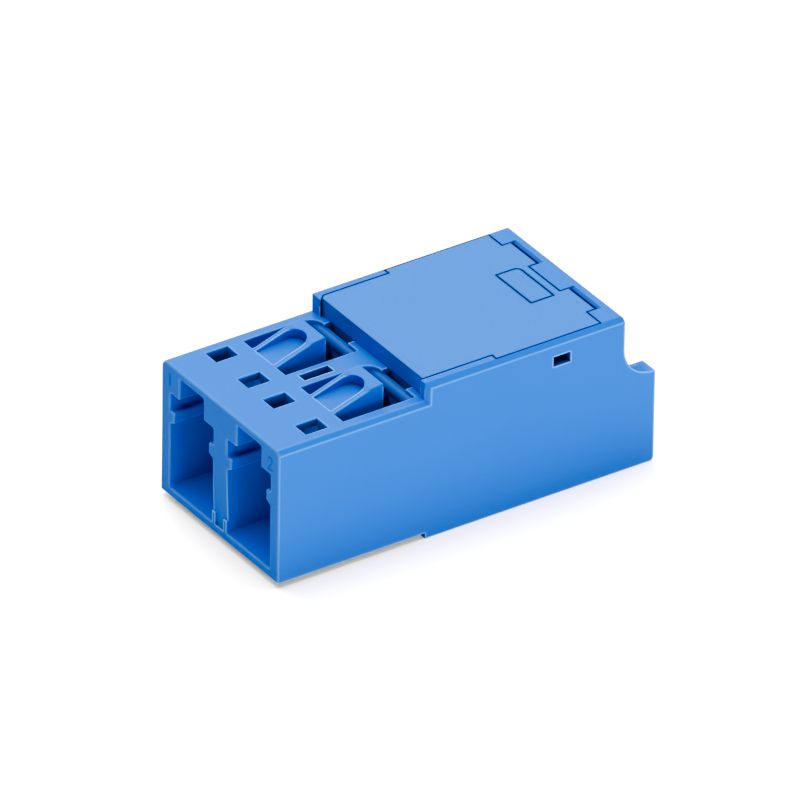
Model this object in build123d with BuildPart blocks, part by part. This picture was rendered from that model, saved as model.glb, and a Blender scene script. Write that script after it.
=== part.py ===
# Duplex fibre optic adapter, the kind that snaps into a panel from behind.
# Millimetres. X is the width, Y runs from the front ports to the rear ports, Z is up.
# The origin is under the middle of the body, on the surface that it rests on.
import os

from build123d import *

os.makedirs("parts", exist_ok=True)

# The port grid. A duplex pair of channels has this pitch, and each port takes a 4.5 mm square plug.
port_pitch = 6.25
port_width = 4.7
port_body_height = 4.7
side_wall = 0.925

# How the depth of the body is made up, from the front face to the rear face
front_port_depth = 11.55
holder_half = 1.45
rear_port_depth = 12.85

# Heights of the port's steps, one above the other from the underside of the front part
front_underside = 0.4
front_floor = 0.6
rail_height = 0.75
lug_slot_height = 1.2
key_slot_height = 1.5
front_plate = 0.5
top_step = 1.2

# Widths of the port's steps, the small rounds at its corners and the bevel at its mouth
rail_gap = 3.8
rail_slope = 0.2
lug_slot_width = 4.75
key_slot_width = 2.65
port_corner = 0.15
mouth_bevel = 0.07

# The step that stops against the panel, measured from the front face
stop_depth = 10.65

# Edges of the outside
long_edge_bevel = 0.3
long_edge_round = 0.3
front_edge_round = 0.12
rear_top_round = 0.15
rear_foot_round = 0.3

# The finger scoop at the rear, which lets a thumb reach the plug's latch
lip_setback = 2.3
scoop_radius = 2.2
scoop_sink = 0.05

# Catch windows over the lugs of the front plugs
catch_window_width = 1.2
catch_window_length = 1.55
catch_window_depth = 2.55
catch_window_offset = 1.75
window_rim_round = 0.07

# Windows round the snap latches
latch_window_width = 4.6
latch_window_depth = 5.25
latch_window_length = 5.15
latch_window_round = 0.9

# Snap latches: a ramp, a short flat and an upright back that drops in behind the panel
latch_width = 2.6
latch_length = 3.55
latch_ramp_length = 2.65
latch_ramp_rise = 0.85
latch_peak_rise = 0.95
latch_root_length = 0.5
latch_root_thickness = 0.9
latch_tail_thickness = 2.1
latch_edge_round = 0.07
pocket_width = 1.9
pocket_length = 2.95
pocket_sink = 0.15
pocket_tilt = 6

# The round bar across the rear of the latch windows, and the slots behind it
bar_diameter = 0.9
bar_sink = 0.25
bar_gap = 0.1
bar_slot_width = 2.6
bar_slot_sink = 1.4

# The shallow recess between the two latches
centre_recess_width = 0.7
centre_recess_length = 2.1
centre_recess_depth = 5.85
centre_recess_sink = 0.6

# The drawn-back face of the divider, with a small post left at each side of its foot
divider_lean = 0.15
divider_post_width = 0.32
divider_post_height = 0.85
divider_post_thickness = 0.4

# The cover that snaps on over the rear part
seam = 0.1
cover_setback = 0.2
corner_cut = 0.45
pillar_width = 0.75
pillar_length = 5.15
ledge_width = 0.3
ledge_drop = 0.8
rear_rim_width = 1.5
tongue_width = 2.8
tongue_reach = 0.62
tongue_slot = 0.2
tongue_bevel = 0.1
tab_bevel = 0.15
guide_clearance = 0.05

# The cover's side hooks and the windows that they snap into
hook_window_setback = 2.45
hook_window_length = 1.25
hook_window_height = 0.7
hook_window_drop = 1.05
hook_length = 0.95
hook_height = 0.22
hook_reach = 0.45
hook_bevel = 0.1

# The moulded outline on top of the cover
outline_length = 1.75
outline_width = 3.9
outline_setback = 0.6
outline_round = 0.45
outline_groove = 0.1
outline_sink = 0.12

# Sleeve holders and split sleeves. A 1.25 mm ferrule slides into each end of a sleeve.
ferrule_bore = 1.249
sleeve_wall = 0.175
sleeve_length = 6.8
sleeve_slit = 0.35
sleeve_clearance = 0.025
sleeve_end_play = 0.05
barrel_diameter = 2.95
barrel_reach = 3.95
barrel_lip_bore = 1.4
barrel_lip_taper = 25
barrel_lead_in = 0.25
holder_groove = 0.3
holder_clearance = 0.05
floor_groove = 0.3

# Sizes and places that follow
width = port_pitch + port_width + 2 * side_wall
length = front_port_depth + 2 * holder_half + rear_port_depth
port_floor = front_underside + front_floor
rail_bottom = port_floor + port_body_height
rail_top = rail_bottom + rail_height
lug_slot_top = rail_top + lug_slot_height
key_slot_top = lug_slot_top + key_slot_height
front_top = key_slot_top + front_plate
rear_top = front_top + top_step
ferrule_height = port_floor + port_body_height / 2
port_places = [(-port_pitch / 2, 0), (port_pitch / 2, 0)]
divider_half = (port_pitch - port_width) / 2
front_face = -length / 2
rear_face = length / 2


def from_front(distance):
    """The Y of a place that lies this far behind the front face."""
    return front_face + distance


def at_ports(y, *offsets):
    """Places at this Y on each port's middle line, or beside it by each of the offsets."""
    return [(x + offset, y) for x, _ in port_places for offset in offsets or (0,)]


mating_plane = from_front(front_port_depth + holder_half)
stop_face = from_front(stop_depth)
rear_lip = rear_face - lip_setback
scoop_foot = rail_top - scoop_sink
scoop_middle = scoop_foot + scoop_radius
window_front = from_front(latch_window_depth)
window_rear = window_front + latch_window_length
latch_rear = window_front + latch_length
bar_middle = front_top - bar_sink - bar_diameter / 2
pillar_inside = width / 2 - pillar_width
pillar_rear = from_front(stop_depth + pillar_length)
flange_inside = width / 2 - ledge_width
channel_half = port_pitch / 2 + lug_slot_width / 2
cover_front = stop_face + cover_setback
cover_end = rear_lip - rear_rim_width
holder_width = port_pitch + port_width + 2 * holder_groove
holder_bottom = port_floor - floor_groove
hook_window_y = cover_end - hook_window_setback - hook_window_length / 2
hook_window_top = rear_top - hook_window_drop
sleeve_outside = ferrule_bore + 2 * sleeve_wall
sleeve_seat = sleeve_length / 2 + sleeve_end_play
from_corner = (Align.MIN, Align.MIN)
from_near_edge = (Align.CENTER, Align.MIN)

# One port's opening, seen along Y and about its own middle. The plug's body slides in the square part,
# its latch lugs in the slot above the two rails, and its latch arm in the narrower slot on top.
with BuildSketch() as port:
    with BuildLine():
        Polyline(
            (0, port_floor),
            (port_width / 2, port_floor),
            (port_width / 2, rail_bottom - rail_slope),
            (rail_gap / 2, rail_bottom),
            (rail_gap / 2, rail_top),
            (lug_slot_width / 2, rail_top),
            (lug_slot_width / 2, lug_slot_top),
            (key_slot_width / 2, lug_slot_top),
            (key_slot_width / 2, key_slot_top),
            (0, key_slot_top),
        )
        mirror(about=Plane.YZ)
    make_face()
    fillet(port.vertices().filter_by(lambda corner: abs(corner.X) > port_corner), radius=port_corner)

# Housing: one moulding with all four ports, both snap latches and the seat for the cover
with BuildPart() as housing:
    # Side view of the outside, with the step that meets the panel
    with BuildSketch(Plane.YZ) as side_view:
        with BuildLine():
            Polyline(
                (front_face, front_underside),
                (stop_face, front_underside),
                (stop_face, 0),
                (rear_face, 0),
                (rear_face, rear_top),
                (stop_face, rear_top),
                (stop_face, front_top),
                (front_face, front_top),
                close=True,
            )
        make_face()
        foot = side_view.vertices().group_by(Axis.Y)[0].sort_by(Axis.X)[-1]
        fillet(foot, radius=rear_foot_round)
    extrude(amount=width / 2, both=True)

    # Bevel the long upper edges, which run up the step, and round the bevel's outer edge
    side_edges = housing.edges().filter_by(lambda edge: abs(abs(edge.center().X) - width / 2) < 0.001)
    chamfer(side_edges.filter_by(lambda edge: edge.center().Z > front_top - 0.01), length=long_edge_bevel)
    bevel_foot = front_top - long_edge_bevel
    side_edges = housing.edges().filter_by(lambda edge: abs(abs(edge.center().X) - width / 2) < 0.001)
    fillet(side_edges.filter_by(lambda edge: edge.center().Z > bevel_foot - 0.01), radius=long_edge_round)

    # The finger scoop, with a small round on the crest in front of it, then the front face's edges
    with BuildSketch(Plane.YZ):
        with Locations((rear_lip, scoop_middle)):
            Rectangle(lip_setback, rear_top, align=from_corner)
        with Locations((rear_lip + scoop_radius, scoop_foot)):
            Rectangle(lip_setback, rear_top, align=from_corner)
        with Locations((rear_lip + scoop_radius, scoop_middle)):
            Circle(scoop_radius)
    extrude(amount=width / 2, both=True, mode=Mode.SUBTRACT)
    crest = housing.edges().filter_by(Axis.X).filter_by(lambda edge: edge.center().Z > rear_top - 0.001)
    fillet(crest.sort_by(Axis.Y)[-1], radius=rear_top_round)
    fillet(housing.faces().sort_by(Axis.Y)[0].edges(), radius=front_edge_round)

    # The ports, with the edge of each front mouth beveled
    with BuildSketch(Plane.XZ.offset(-front_face)):
        with Locations(*port_places):
            add(port.sketch)
    extrude(amount=-front_port_depth, mode=Mode.SUBTRACT)
    for mouth in housing.faces().sort_by(Axis.Y)[0].inner_wires():
        chamfer(mouth.edges(), length=mouth_bevel)
    with BuildSketch(Plane.XZ.offset(-rear_face)):
        with Locations(*port_places):
            add(port.sketch)
    extrude(amount=rear_port_depth, mode=Mode.SUBTRACT)

    # The divider's front face leans back towards its foot, between two small posts
    with BuildSketch(Plane.YZ):
        with BuildLine():
            Polyline(
                (front_face, rail_bottom - rail_slope),
                (front_face, port_floor),
                (front_face + divider_lean, port_floor),
                close=True,
            )
        make_face()
    extrude(amount=divider_half, both=True, mode=Mode.SUBTRACT)
    post_offset = divider_half - divider_post_width / 2
    with BuildSketch(Plane.XY.offset(port_floor)):
        with Locations((-post_offset, front_face), (post_offset, front_face)):
            Rectangle(divider_post_width, divider_post_thickness, align=from_near_edge)
    extrude(amount=divider_post_height)

    # Catch windows down to the lug slots, and the windows round the latches
    with BuildSketch(Plane.XY.offset(front_top)):
        with Locations(*at_ports(from_front(catch_window_depth), -catch_window_offset, catch_window_offset)):
            Rectangle(catch_window_width, catch_window_length, align=from_near_edge)
    extrude(amount=lug_slot_top - front_top, mode=Mode.SUBTRACT)
    with BuildSketch(Plane.XY.offset(front_top)) as latch_windows:
        with Locations(*at_ports(window_front)):
            Rectangle(latch_window_width, latch_window_length, align=from_near_edge)
        rear_corners = latch_windows.vertices().group_by(Axis.Y)[-1].sort_by(Axis.X)
        fillet([rear_corners[0], rear_corners[2]], radius=latch_window_round)
    extrude(amount=rail_top - front_top, mode=Mode.SUBTRACT)

    # Break the rims of all the windows on the upper face
    front_plate_face = housing.faces().filter_by(Plane.XY).filter_by(
        lambda face: abs(face.center().Z - front_top) < 0.001
    )
    rims = [edge for wire in front_plate_face.sort_by(SortBy.AREA)[-1].inner_wires() for edge in wire.edges()]
    fillet(rims, radius=window_rim_round)

    # Shallow recess between the latches
    with BuildSketch(Plane.XY.offset(front_top)):
        with Locations((0, from_front(centre_recess_depth))):
            Rectangle(centre_recess_width, centre_recess_length, align=from_near_edge)
    extrude(amount=-centre_recess_sink, mode=Mode.SUBTRACT)

    # Slots behind the latch windows, down into the latch slots, then the round bar that crosses them
    with BuildSketch(Plane.XY.offset(front_top)):
        with Locations(*at_ports(window_rear)):
            Rectangle(bar_slot_width, bar_diameter / 2 + bar_gap, align=from_near_edge)
    extrude(amount=-bar_slot_sink, mode=Mode.SUBTRACT)
    with BuildSketch(Plane.YZ):
        with Locations((window_rear, bar_middle)):
            Circle(bar_diameter / 2)
    extrude(amount=port_pitch / 2 + latch_window_width / 2, both=True)

    # Snap latches, each hanging by its front end from the plate over the latch slot
    for x, _ in port_places:
        with BuildSketch(Plane.YZ.offset(x)):
            with BuildLine():
                Polyline(
                    (window_front - latch_root_length, front_top - front_plate),
                    (window_front - latch_root_length, front_top),
                    (window_front, front_top),
                    (window_front + latch_ramp_length, front_top + latch_ramp_rise),
                    (latch_rear, front_top + latch_peak_rise),
                    (latch_rear, front_top + latch_peak_rise - latch_tail_thickness),
                    (window_front + latch_root_length, front_top - latch_root_thickness),
                    close=True,
                )
            make_face()
        extrude(amount=latch_width / 2, both=True)
    latch_edges = housing.edges().filter_by(
        lambda edge: edge.center().Z > front_top + 0.01 and window_front < edge.center().Y < latch_rear + 0.01
    )
    fillet(latch_edges, radius=latch_edge_round)

    # The cored pocket in the top of each latch, round at its rear end and open at the front, with a floor
    # that rises a little towards the rear
    pocket_floor = Plane((0, window_front, front_top - pocket_sink)).rotated((pocket_tilt, 0, 0))
    with BuildSketch(pocket_floor):
        with Locations(*at_ports(pocket_length - pocket_width / 2)):
            Circle(pocket_width / 2)
            Rectangle(pocket_width, pocket_length - pocket_width / 2, align=(Align.CENTER, Align.MAX))
    extrude(amount=pocket_sink + latch_peak_rise, mode=Mode.SUBTRACT)

    # Seat of the cover: its plate between the front pillars, one of which laps over the cover's cut
    # corner, its flanges on the side walls behind them and its tongues between the tabs at the rear
    with BuildSketch(Plane.XY.offset(front_top)) as seat:
        with Locations((0, stop_face)):
            Rectangle(2 * pillar_inside, cover_end - stop_face, align=from_near_edge)
        chamfer(seat.vertices().group_by(Axis.Y)[0].sort_by(Axis.X)[0], length=corner_cut)
    extrude(amount=top_step, mode=Mode.SUBTRACT)
    with BuildSketch(Plane.XY.offset(rear_top - ledge_drop)):
        with Locations((0, pillar_rear)):
            Rectangle(2 * flange_inside, cover_end - pillar_rear, align=from_near_edge)
    extrude(amount=ledge_drop, mode=Mode.SUBTRACT)
    with BuildSketch(Plane.XY.offset(key_slot_top)):
        with Locations(*at_ports(cover_end)):
            Rectangle(tongue_width + 2 * seam, tongue_reach + tongue_slot, align=from_near_edge)
    extrude(amount=rear_top - key_slot_top, mode=Mode.SUBTRACT)
    tab_rims = housing.edges().filter_by(Axis.X).filter_by(
        lambda edge: abs(edge.center().Y - cover_end - tongue_reach - tongue_slot) < 0.001
        and edge.center().Z > rear_top - 0.001
    )
    chamfer(tab_rims, length=tab_bevel)

    # The channel under the cover, open down to the lug slots, and the pocket that the holders drop into
    channel_front = from_front(front_port_depth)
    channel_bottom = lug_slot_top - port_corner
    with BuildSketch(Plane.XY.offset(channel_bottom)):
        with Locations((0, channel_front)):
            Rectangle(2 * channel_half, cover_end - channel_front, align=from_near_edge)
    extrude(amount=front_top - channel_bottom, mode=Mode.SUBTRACT)
    with BuildSketch(Plane.XY.offset(holder_bottom)):
        with Locations((0, mating_plane)):
            Rectangle(holder_width, 2 * holder_half)
    extrude(amount=front_top - holder_bottom, mode=Mode.SUBTRACT)

    # Windows in the side walls for the cover's hooks
    with BuildSketch(Plane.YZ):
        with Locations((hook_window_y, hook_window_top)):
            Rectangle(hook_window_length, hook_window_height, align=(Align.CENTER, Align.MAX))
    extrude(amount=width / 2, both=True, mode=Mode.SUBTRACT)

# Rear cover: a lid with guide ribs that close the tops of the rear lug slots
with BuildPart() as rear_cover:
    # Plate between the pillars, with one corner cut so that it only fits one way round, then the flanges
    # on the side walls and the tongues
    with BuildSketch(Plane.XY.offset(front_top)) as plate:
        with Locations((0, cover_front)):
            Rectangle(2 * (pillar_inside - seam), cover_end - seam - cover_front, align=from_near_edge)
        chamfer(plate.vertices().group_by(Axis.Y)[0].sort_by(Axis.X)[0], length=corner_cut - cover_setback)
    extrude(amount=top_step)
    with BuildSketch(Plane.XY.offset(rear_top - ledge_drop)):
        with Locations((0, pillar_rear + seam)):
            Rectangle(2 * (flange_inside - seam), cover_end - 2 * seam - pillar_rear, align=from_near_edge)
    extrude(amount=ledge_drop)
    with BuildSketch(Plane.XY.offset(key_slot_top + seam)):
        with Locations(*at_ports(cover_end - seam)):
            Rectangle(tongue_width, tongue_reach + seam, align=from_near_edge)
    extrude(amount=rear_top - key_slot_top - seam)
    tongue_ends = rear_cover.faces().sort_by(Axis.Y)[-2:].edges().group_by(Axis.Z)[-1]
    chamfer(tongue_ends, length=tongue_bevel)

    # Guide ribs, one over the divider and one along each side wall
    rib_front = mating_plane + holder_half + guide_clearance
    rib_inside = port_pitch / 2 + key_slot_width / 2
    rib_outside = channel_half - guide_clearance
    rib_bottom = lug_slot_top + guide_clearance
    with BuildSketch(Plane.XY.offset(rib_bottom)):
        with Locations((0, rib_front)):
            Rectangle(port_pitch - key_slot_width, cover_end - seam - rib_front, align=from_near_edge)
        with Locations((rib_inside, rib_front)):
            Rectangle(rib_outside - rib_inside, cover_end - seam - rib_front, align=from_corner)
        mirror(about=Plane.YZ)
    extrude(amount=front_top - rib_bottom)

    # Side hooks, beveled below so that they ride in over the walls
    hook_root = pillar_inside - 2 * seam
    with BuildSketch(Plane.XZ.offset(-hook_window_y)):
        with BuildLine():
            Polyline(
                (hook_root, hook_window_top - seam),
                (pillar_inside + hook_reach, hook_window_top - seam),
                (pillar_inside + hook_reach, hook_window_top - seam - hook_height + hook_bevel),
                (pillar_inside + hook_reach - hook_bevel, hook_window_top - seam - hook_height),
                (hook_root, hook_window_top - seam - hook_height),
                close=True,
            )
        make_face()
        mirror(about=Plane.YZ)
    extrude(amount=hook_length / 2, both=True)

    # Moulded outline, a fine groove with one rounded corner
    with BuildSketch(Plane.XY.offset(rear_top)) as outline:
        with Locations((0, cover_end - outline_setback - outline_length)):
            Rectangle(outline_width, outline_length, align=from_near_edge)
        fillet(outline.vertices().group_by(Axis.Y)[-1].sort_by(Axis.X)[0], radius=outline_round)
        offset(amount=-outline_groove, mode=Mode.SUBTRACT)
    extrude(amount=-outline_sink, mode=Mode.SUBTRACT)

# Rear half of the sleeve holder: a plate across the housing with a barrel for each rear port
with BuildPart() as rear_sleeve_holder:
    with BuildSketch(Plane.XZ.offset(-mating_plane)):
        with Locations((0, holder_bottom)):
            Rectangle(
                holder_width - 2 * holder_clearance,
                front_top - holder_clearance - holder_bottom,
                align=from_near_edge,
            )
    extrude(amount=-holder_half)
    with BuildSketch(Plane.XZ.offset(-mating_plane)):
        with Locations(*at_ports(ferrule_height)):
            Circle(barrel_diameter / 2)
    extrude(amount=-barrel_reach)
    mouths = rear_sleeve_holder.faces().sort_by(Axis.Y)[-2:].edges()
    chamfer(mouths, length=barrel_lead_in)

    # The bore that the sleeve floats in ends at a lip, which opens out in a cone to guide the ferrule in
    with BuildSketch(Plane.XZ.offset(-mating_plane)):
        with Locations(*at_ports(ferrule_height)):
            Circle(sleeve_outside / 2 + sleeve_clearance)
    extrude(amount=-sleeve_seat, mode=Mode.SUBTRACT)
    with BuildSketch(Plane.XZ.offset(-mating_plane - sleeve_seat)):
        with Locations(*at_ports(ferrule_height)):
            Circle(barrel_lip_bore / 2)
    extrude(amount=-(barrel_reach - sleeve_seat), taper=-barrel_lip_taper, mode=Mode.SUBTRACT)

# Front half of the sleeve holder, the same moulding turned to face the front ports
with BuildPart() as front_sleeve_holder:
    mirror(rear_sleeve_holder.part, about=Plane.XZ.offset(-mating_plane))

# Split sleeves, slit along the top
for number, (x, _) in enumerate(port_places, start=1):
    with BuildPart() as alignment_sleeve:
        with BuildSketch(Plane.XZ.offset(-mating_plane)):
            with Locations((x, ferrule_height)):
                Circle(sleeve_outside / 2)
                Circle(ferrule_bore / 2, mode=Mode.SUBTRACT)
                Rectangle(sleeve_slit, sleeve_outside, align=from_near_edge, mode=Mode.SUBTRACT)
        extrude(amount=sleeve_length / 2, both=True)
    alignment_sleeve.part.label = f"alignment_sleeve_{number}"
    export_step(alignment_sleeve.part, f"parts/alignment_sleeve_{number}.step")

housing.part.label = "housing"
export_step(housing.part, "parts/housing.step")
rear_cover.part.label = "rear_cover"
export_step(rear_cover.part, "parts/rear_cover.step")
front_sleeve_holder.part.label = "front_sleeve_holder"
export_step(front_sleeve_holder.part, "parts/front_sleeve_holder.step")
rear_sleeve_holder.part.label = "rear_sleeve_holder"
export_step(rear_sleeve_holder.part, "parts/rear_sleeve_holder.step")
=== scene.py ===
# A duplex fibre optic adapter in blue moulded plastic, lying on a pale floor.
# Lengths are in millimetres here and become metres where they meet the frame.
import math

import bpy
from mathutils import Matrix, Vector


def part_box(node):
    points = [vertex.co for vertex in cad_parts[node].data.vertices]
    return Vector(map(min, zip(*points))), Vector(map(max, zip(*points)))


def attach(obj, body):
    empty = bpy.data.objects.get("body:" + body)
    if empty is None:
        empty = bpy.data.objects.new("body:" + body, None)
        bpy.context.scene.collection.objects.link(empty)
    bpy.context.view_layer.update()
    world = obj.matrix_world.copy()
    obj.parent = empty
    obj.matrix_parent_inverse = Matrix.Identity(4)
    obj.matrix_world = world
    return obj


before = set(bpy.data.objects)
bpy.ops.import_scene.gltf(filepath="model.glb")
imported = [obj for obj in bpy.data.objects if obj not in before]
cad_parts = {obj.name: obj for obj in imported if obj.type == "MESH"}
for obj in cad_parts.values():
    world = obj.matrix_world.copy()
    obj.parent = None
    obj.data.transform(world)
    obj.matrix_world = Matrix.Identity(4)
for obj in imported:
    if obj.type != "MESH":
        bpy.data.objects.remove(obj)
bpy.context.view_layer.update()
mm = 0.001

# Camera
# A long lens some way off, so that the adapter's parallel edges stay nearly parallel. It looks down
# on the front ports, the upper face and the long side at +X.
camera_turn = math.radians(55.757)
camera_rise = math.radians(31.887)
camera_roll = math.radians(0.896)
camera_distance = 1160.44 * mm
picture_middle = Vector((-0.246, -0.456, 5.502)) * mm
back = Vector(
    (
        math.sin(camera_turn) * math.cos(camera_rise),
        -math.cos(camera_turn) * math.cos(camera_rise),
        math.sin(camera_rise),
    )
)
level = Vector((math.cos(camera_turn), math.sin(camera_turn), 0))
upright = back.cross(level)
right = level * math.cos(camera_roll) + upright * math.sin(camera_roll)
up = back.cross(right)
camera = bpy.data.objects.new("camera", bpy.data.cameras.new("camera"))
camera.data.sensor_width = 36
camera.data.lens = 865.07
camera.data.clip_start = 0.05
camera.data.clip_end = 20
camera.matrix_world = Matrix.Translation(picture_middle + back * camera_distance) @ Matrix(
    (right, up, back)
).transposed().to_4x4()
bpy.context.scene.collection.objects.link(camera)
bpy.context.scene.camera = camera

# Floor and studio light
# A white sheet, lit a little from below, under a broad soft light overhead. Others stand behind, at
# the left and low at the right, and a white card on the sheet lights the long side from underneath.
# The front ports stay in shade, and the sheet is so dull that the plastic doesn't mirror it.
floor_half = 3.0
floor_corners = [(x * floor_half, y * floor_half, 0) for x, y in ((-1, -1), (1, -1), (1, 1), (-1, 1))]
floor_mesh = bpy.data.meshes.new("floor")
floor_mesh.from_pydata(floor_corners, [], [(0, 1, 2, 3)])
floor = bpy.data.objects.new("floor", floor_mesh)
floor_finish = bpy.data.materials.new("white_sheet")
floor_finish.use_nodes = True
floor_shader = floor_finish.node_tree.nodes["Principled BSDF"]
floor_shader.inputs["Base Color"].default_value = (0.97, 0.955, 0.9, 1)
floor_shader.inputs["Roughness"].default_value = 1.0
floor_shader.inputs["Specular IOR Level"].default_value = 0.0
floor_shader.inputs["Emission Color"].default_value = (1, 1, 1, 1)
floor_shader.inputs["Emission Strength"].default_value = 0.25
floor_mesh.materials.append(floor_finish)
floor.visible_glossy = False
bpy.context.scene.collection.objects.link(floor)


def soft_light(name, source, strength, spread, colour=(1, 1, 1)):
    """A broad, distant light that shines from the source's direction towards the adapter."""
    lamp = bpy.data.lights.new(name, "SUN")
    lamp.energy = strength
    lamp.color = colour
    lamp.angle = math.radians(spread)
    light = bpy.data.objects.new(name, lamp)
    light.rotation_mode = "QUATERNION"
    light.rotation_quaternion = Vector(source).to_track_quat("Z", "Y")
    bpy.context.scene.collection.objects.link(light)


soft_light("overhead_light", source=(0, 0, 1), strength=4.95, spread=60)
soft_light("left_light", source=(-1, 0.1, 0.5), strength=3.7, spread=60)
soft_light("rear_light", source=(0.1, 1, 0.45), strength=1.24, spread=60)
soft_light("right_light", source=(1, 0.03, 0.1), strength=2.3, spread=30, colour=(1, 0.97, 0.98))

card = bpy.data.lights.new("side_card", "AREA")
card.shape = "RECTANGLE"
card.size = 60 * mm
card.size_y = 50 * mm
card.energy = 0.013
card_light = bpy.data.objects.new("side_card", card)
card_light.location = Vector((35, 0, 0.5)) * mm
card_light.rotation_euler = (math.pi, 0, math.pi / 2)
card_light.visible_camera = False
bpy.context.scene.collection.objects.link(card_light)

world = bpy.data.worlds.new("studio")
world.use_nodes = True
world.node_tree.nodes["Background"].inputs["Color"].default_value = (1, 1, 1, 1)
world.node_tree.nodes["Background"].inputs["Strength"].default_value = 0.06
bpy.context.scene.world = world

# Picture contrast
# The photograph has deep, saturated shades and a burnt-out white ground. Red is held back in the
# shades, and above the middle tones all three colours follow one long, even shoulder.
white_level = 1.8
red_toe = 0.065
shoulder = (0.397, 0.441)
look = bpy.context.scene.view_settings
look.view_transform = "Standard"
look.use_curve_mapping = True
look.curve_mapping.white_level = (white_level, white_level, white_level)
red, green, blue = look.curve_mapping.curves[:3]
red.points.new(red_toe / white_level, 0)
for channel in (red, green, blue):
    channel.points.new(shoulder[0] / white_level, shoulder[1])
    for point in channel.points:
        point.handle_type = "VECTOR"
look.curve_mapping.update()

# Housing
# One moulding in blue polyester: all four ports, both snap latches and the seat for the cover. Its
# skin has the fine, even grain of an eroded steel mould, and faint flow marks that run along it.
class Value:
    """A number that varies over a surface, so that shading can be written as arithmetic."""

    def __init__(self, finish, socket):
        self.finish = finish
        self.socket = socket

    def worked(self, operation, *others):
        """Adds one Math node, which takes this value first."""
        numbers = dict(enumerate((self, *others)))
        return self.finish.node("ShaderNodeMath", {"operation": operation}, numbers)

    def __add__(self, other):
        return self.worked("ADD", other)

    def __sub__(self, other):
        return self.worked("SUBTRACT", other)

    def __rsub__(self, other):
        return -1 * self + other

    def __mul__(self, other):
        return self.worked("MULTIPLY", other)

    def __lt__(self, other):
        return self.worked("LESS_THAN", other)

    def __gt__(self, other):
        return self.worked("GREATER_THAN", other)

    def __abs__(self):
        return self.worked("ABSOLUTE")

    __radd__ = __add__
    __rmul__ = __mul__


class Finish:
    """A material on one Principled shader, and the nodes that feed it."""

    def __init__(self, name, **constants):
        self.material = bpy.data.materials.new(name)
        self.material.use_nodes = True
        self.tree = self.material.node_tree
        self.shader = self.tree.nodes["Principled BSDF"]
        for socket, value in constants.items():
            self.shader.inputs[socket.replace("_", " ")].default_value = value

    def node(self, kind, settings=None, sockets=None, output=0):
        made = self.tree.nodes.new(kind)
        for name, value in (settings or {}).items():
            setattr(made, name, value)
        for name, value in (sockets or {}).items():
            self.feed(made.inputs[name], value)
        return Value(self, made.outputs[output])

    def feed(self, socket, value):
        if isinstance(value, Value):
            self.tree.links.new(value.socket, socket)
        else:
            socket.default_value = value

    def surface(self, **values):
        for name, value in values.items():
            self.feed(self.shader.inputs[name.replace("_", " ")], value)

    def blend(self, share, first, second):
        """The second colour over the first, in the given share. A plain one is red, green, blue."""
        colours = {
            name: colour if isinstance(colour, Value) else (*colour, 1)
            for name, colour in (("A", first), ("B", second))
        }
        return self.node(
            "ShaderNodeMix", {"data_type": "RGBA"}, {"Factor": share, **colours}, output="Result"
        )

    def fade(self, value, start, end, most):
        """Rises evenly from nothing at the start to the most at the end."""
        return self.node(
            "ShaderNodeMapRange",
            {},
            {"Value": value, "From Min": start, "From Max": end, "To Max": most},
        )


# The openings in the front part's upper face look into the shaded inside of the ports. They lie before
# and behind the latches, away from the sides, and their walls get painted shade that deepens from the
# top downwards.
opening_top = 9.6
opening_dark = 9.0
opening_floor = 8.5
openings_front = -13.0
openings_rear = -3.05
openings_half_width = 5.6
latch_middle = -6.65
latch_half_length = 1.85

# The rounding along the upper long edges gets a painted highlight line where it faces this far to the
# side, full within the smaller difference from that and faded out at the larger. It lies this far from
# the middle.
rounding_facing = 0.92
rounding_faded = 0.078
rounding_full = 0.045
rounding_from = 5.9

# How far in from an edge its painted highlight or painted shade reaches, how far the edge looks
# softened, and how near surrounding walls must stand for painted shade to darken a point.
edge_reach = 0.13
edge_softness = 0.06
painted_shade_reach = 1.8
painted_shade_colour = (0.0, 0.006, 0.03)


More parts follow.
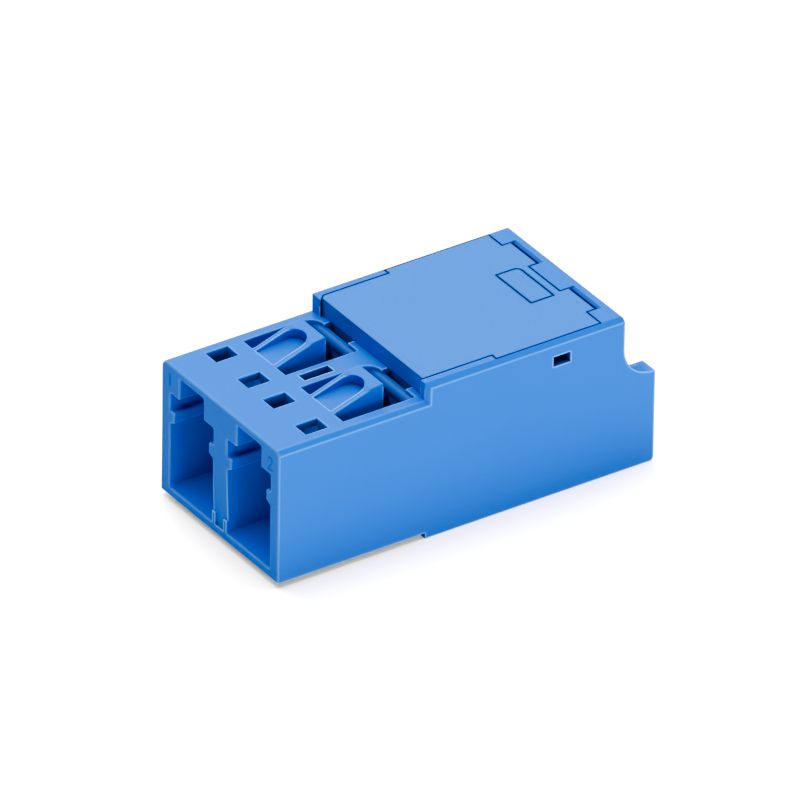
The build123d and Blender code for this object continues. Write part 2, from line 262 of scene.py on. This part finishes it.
def moulded_plastic(
    name,
    colour,
    roughness,
    grain_depth,
    painted_edge_colour,
    painted_edge_strength,
    painted_edge_limit,
    painted_line_strength=0,
):
    """Satin moulded plastic, with eroded grain, faint flow marks along Y, and painted shade in hollows
    and openings.

    Its edges take a painted highlight or painted shade as given, but not beyond a limit: a distance
    from the middle along X, or a height along Z. The line is a painted highlight on the rounded long
    edges.
    """
    finish = Finish(name, IOR=1.5, Specular_IOR_Level=0.105)
    place = finish.node("ShaderNodeTexCoord", output="Object")
    x, y, z = [
        finish.node("ShaderNodeSeparateXYZ", {}, {"Vector": place}, output=axis) for axis in "XYZ"
    ]

    grain = finish.node(
        "ShaderNodeTexNoise", {}, {"Vector": place, "Scale": 9000.0, "Detail": 3.0, "Roughness": 0.6}
    )
    along = finish.node("ShaderNodeMapping", {}, {"Vector": place, "Scale": (420.0, 90.0, 420.0)})
    flow = finish.node(
        "ShaderNodeTexNoise", {}, {"Vector": along, "Scale": 1.0, "Detail": 4.0, "Roughness": 0.55}
    )
    clouds = finish.node("ShaderNodeTexNoise", {}, {"Vector": place, "Scale": 160.0, "Detail": 2.0})
    darker = [0.96 * part for part in colour]
    lighter = [1.04 * part for part in colour]
    tint = finish.blend(0.6 * flow + 0.4 * clouds, darker, lighter)

    # Convex edges get the given edge colour: a painted highlight on the housing and holders, painted
    # shade on the cover and figures.
    solid_around = finish.node(
        "ShaderNodeAmbientOcclusion",
        {"inside": True, "only_local": True, "samples": 8},
        {"Distance": edge_reach * mm},
        output="AO",
    )
    axis, limit = painted_edge_limit
    within_limit = abs(x if axis == "X" else z) < limit * mm
    edge = finish.fade(solid_around, 1.0, 0.5, painted_edge_strength) * within_limit
    # Painted highlight: a pale line along the rounded upper long edges, where they turn from the side
    # towards the top.
    normal = finish.node("ShaderNodeNewGeometry", output="Normal")
    facing_side = finish.node("ShaderNodeSeparateXYZ", {}, {"Vector": normal}, output="X")
    from_line = abs(facing_side - rounding_facing)
    on_rounding = finish.fade(from_line, rounding_faded, rounding_full, painted_line_strength)
    painted_highlight_line = on_rounding * (abs(x) > rounding_from * mm)
    with_painted_edges = finish.blend(edge.worked("MAXIMUM", painted_highlight_line), tint, painted_edge_colour)

    # Painted shade: where other walls stand close round a point, its colour is darkened towards a
    # near-black blue.
    open_around = finish.node(
        "ShaderNodeAmbientOcclusion", {"samples": 8}, {"Distance": painted_shade_reach * mm}, output="AO"
    )
    painted_hollow_shade = finish.fade(open_around, 0.5, 0.2, 0.97)
    # Painted shade in the openings: their walls are darkened downwards from just under the upper face.
    in_opening = (
        (z > opening_floor * mm)
        * (y > openings_front * mm)
        * (y < openings_rear * mm)
        * (abs(x) < openings_half_width * mm)
        * (abs(y - latch_middle * mm) > latch_half_length * mm)
    )
    painted_opening_shade = finish.fade(z, opening_top * mm, opening_dark * mm, 0.9)
    # The deeper of the two painted shades sets how far the colour is darkened.
    painted_shade_share = painted_hollow_shade.worked("MAXIMUM", painted_opening_shade * in_opening)

    softened = finish.node("ShaderNodeBevel", {"samples": 6}, {"Radius": edge_softness * mm})
    rough_skin = finish.node(
        "ShaderNodeBump",
        {},
        {"Strength": 0.35, "Distance": grain_depth * mm, "Height": grain, "Normal": softened},
    )
    finish.surface(
        Base_Color=finish.blend(painted_shade_share, with_painted_edges, painted_shade_colour),
        Roughness=roughness - 0.05 + 0.1 * flow,
        Normal=rough_skin,
    )
    return finish.material


def wear(node, material):
    """Gives one of the adapter's pieces its finish."""
    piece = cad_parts[node]
    piece.data.materials.clear()
    piece.data.materials.append(material)


# The housing's edges below the cover rim get a pale blue painted highlight, and its long roundings a
# painted highlight line.
housing_blue = (0.042, 0.105, 0.487)
painted_edge_highlight = (0.25, 0.39, 0.86)
below_cover_rim = ("Z", 10.4)
housing_plastic = moulded_plastic(
    "housing_plastic",
    housing_blue,
    roughness=0.4,
    grain_depth=0.012,
    painted_edge_colour=painted_edge_highlight,
    painted_edge_strength=0.65,
    painted_edge_limit=below_cover_rim,
    painted_line_strength=0.26,
)
wear("housing", housing_plastic)

# Port numbers
# Small raised figures beside the front ports, moulded in one with the housing, so that both ends of
# a cable can be told apart. Their strokes are half round and stand a little proud of the face, and
# their edges get painted shade, so they show a little darker than it.
# Painted shade for edges: a deep blue laid along the figures' edges and round the cover's seams.
painted_edge_shade = (0.004, 0.035, 0.18)
figure_plastic = moulded_plastic(
    "figure_plastic",
    housing_blue,
    roughness=0.4,
    grain_depth=0.012,
    painted_edge_colour=painted_edge_shade,
    painted_edge_strength=0.3,
    painted_edge_limit=below_cover_rim,
)
front_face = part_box("housing")[0].y
stroke_radius = 0.035 * mm
bowl_radius = 0.22
bowl_height = 0.2
bowl = [math.radians(angle) for angle in range(165, -50, -15)]
figures = {
    "port_number_1": ((-5.55, 8.6), [(-0.14, 0.24), (0.07, 0.42), (0.07, -0.42)]),
    "port_number_2": (
        (5.45, 8.45),
        [(bowl_radius * math.cos(angle), bowl_height + bowl_radius * math.sin(angle)) for angle in bowl]
        + [(-0.24, -0.42), (0.26, -0.42)],
    ),
}
for name, ((middle_x, middle_z), strokes) in figures.items():
    line = bpy.data.curves.new(name, "CURVE")
    line.dimensions = "3D"
    line.bevel_depth = stroke_radius
    line.bevel_resolution = 3
    line.use_fill_caps = True
    spline = line.splines.new("POLY")
    spline.points.add(len(strokes) - 1)
    for point, (x, z) in zip(spline.points, strokes):
        point.co = ((middle_x + x) * mm, front_face, (middle_z + z) * mm, 1)
    line.materials.append(figure_plastic)
    figure = bpy.data.objects.new(name, line)
    bpy.context.scene.collection.objects.link(figure)
    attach(figure, "root")

# Rear cover
# A separate clip-on lid in the same blue polyester. Its outside is a shade paler and more matt, as
# its own mould was finished coarser, and its edges get painted shade along the seams round it.
cover_plastic = moulded_plastic(
    "cover_plastic",
    (0.052, 0.116, 0.48),
    roughness=0.42,
    grain_depth=0.014,
    painted_edge_colour=painted_edge_shade,
    painted_edge_strength=0.8,
    painted_edge_limit=("X", 5.8),
)
wear("rear_cover", cover_plastic)

# Sleeve holders
# Two equal mouldings that carry the sleeves, deep inside the ports, with a duller skin.
# Their edges get a faint pale blue painted highlight.
holder_plastic = moulded_plastic(
    "holder_plastic",
    (0.045, 0.1, 0.46),
    roughness=0.55,
    grain_depth=0.015,
    painted_edge_colour=painted_edge_highlight,
    painted_edge_strength=0.3,
    painted_edge_limit=below_cover_rim,
)
for holder in ("front_sleeve_holder", "rear_sleeve_holder"):
    wear(holder, holder_plastic)

# Alignment sleeves
# Slit tubes of white zirconia, ground on the outside and polished in the bore.
ceramic = Finish("sleeve_ceramic", IOR=2.1, Specular_IOR_Level=0.5)
ceramic_place = ceramic.node("ShaderNodeTexCoord", output="Object")
ground = ceramic.node(
    "ShaderNodeTexNoise", {}, {"Vector": ceramic_place, "Scale": 2500.0, "Detail": 3.0}
)
ceramic.surface(
    Base_Color=ceramic.blend(ground, (0.9, 0.88, 0.82), (0.95, 0.94, 0.9)),
    Roughness=0.15 + 0.15 * ground,
)
for number in (1, 2):
    wear(f"alignment_sleeve_{number}", ceramic.material)
